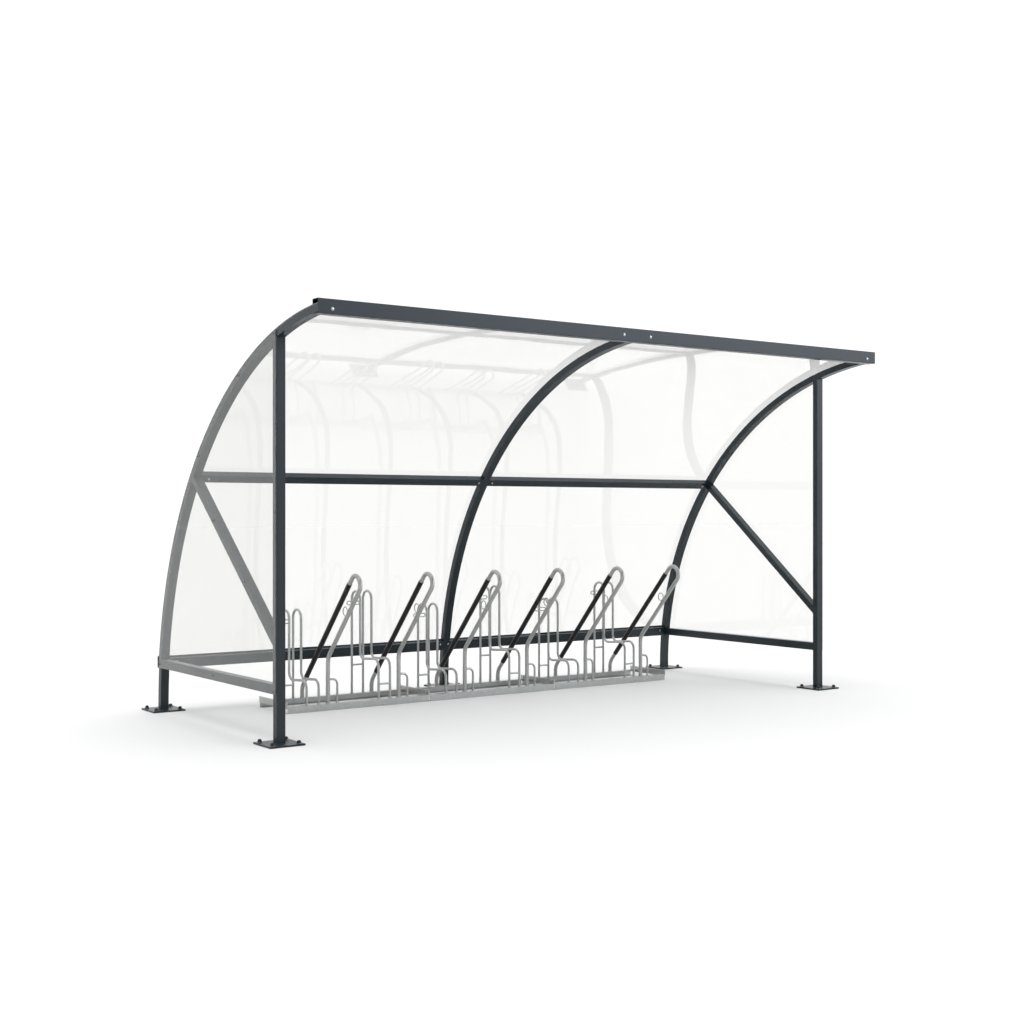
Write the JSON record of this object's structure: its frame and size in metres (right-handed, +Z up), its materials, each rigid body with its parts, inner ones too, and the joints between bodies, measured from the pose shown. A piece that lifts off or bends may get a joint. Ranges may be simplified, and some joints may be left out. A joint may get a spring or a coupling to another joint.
{
  "type": "bike shelter",
  "caption": "Open-fronted bicycle shelter: bent steel arches carry clear curved roof and side sheets over a floor rack of wheel holders and leaning hoops.",
  "frame": {"origin": "on the ground, at the middle of the shelter's box in plan", "axes": "+X along the shelter to the right, +Y from the open front to the back, +Z up"},
  "size_m": [4.25, 2.148, 2.256],
  "materials": {
    "frame_paint": "anthracite powder coat, satin",
    "clear_sheet": "clear acrylic sheet, polished",
    "galvanised": "hot-dip galvanised, dull",
    "black_sleeve": "black plastic sleeve, smooth"
  },
  "bodies": {
    "root": {"arch_left": "frame_paint", "arch_middle": "frame_paint", "arch_right": "frame_paint", "front_post_left": "frame_paint", "front_post_right": "frame_paint", "base_plate_front_left": "frame_paint", "base_plate_front_right": "frame_paint", "base_plate_rear_left": "frame_paint", "base_plate_rear_middle": "frame_paint", "base_plate_rear_right": "frame_paint", "front_beam": "frame_paint", "mid_rail_left": "frame_paint", "bottom_rail_left": "frame_paint", "side_rail_left": "frame_paint", "brace_left": "frame_paint", "mid_rail_right": "frame_paint", "bottom_rail_right": "frame_paint", "side_rail_right": "frame_paint", "brace_right": "frame_paint", "rear_clamp_strip": "frame_paint", "roof_sheet_left": "clear_sheet", "side_panel_left": "clear_sheet", "roof_sheet_right": "clear_sheet", "side_panel_right": "clear_sheet", "rack_base_1": "galvanised", "rack_base_2": "galvanised", "rack_base_3": "galvanised", "wheel_holder_1": "galvanised", "lean_hoop_1": "galvanised", "hoop_sleeve_1": "black_sleeve", "wheel_holder_2": "galvanised", "lean_hoop_2": "galvanised", "hoop_sleeve_2": "black_sleeve", "wheel_holder_3": "galvanised", "lean_hoop_3": "galvanised", "hoop_sleeve_3": "black_sleeve", "wheel_holder_4": "galvanised", "lean_hoop_4": "galvanised", "hoop_sleeve_4": "black_sleeve", "wheel_holder_5": "galvanised", "lean_hoop_5": "galvanised", "hoop_sleeve_5": "black_sleeve", "wheel_holder_6": "galvanised", "lean_hoop_6": "galvanised", "hoop_sleeve_6": "black_sleeve"}
  },
  "joints": []
}
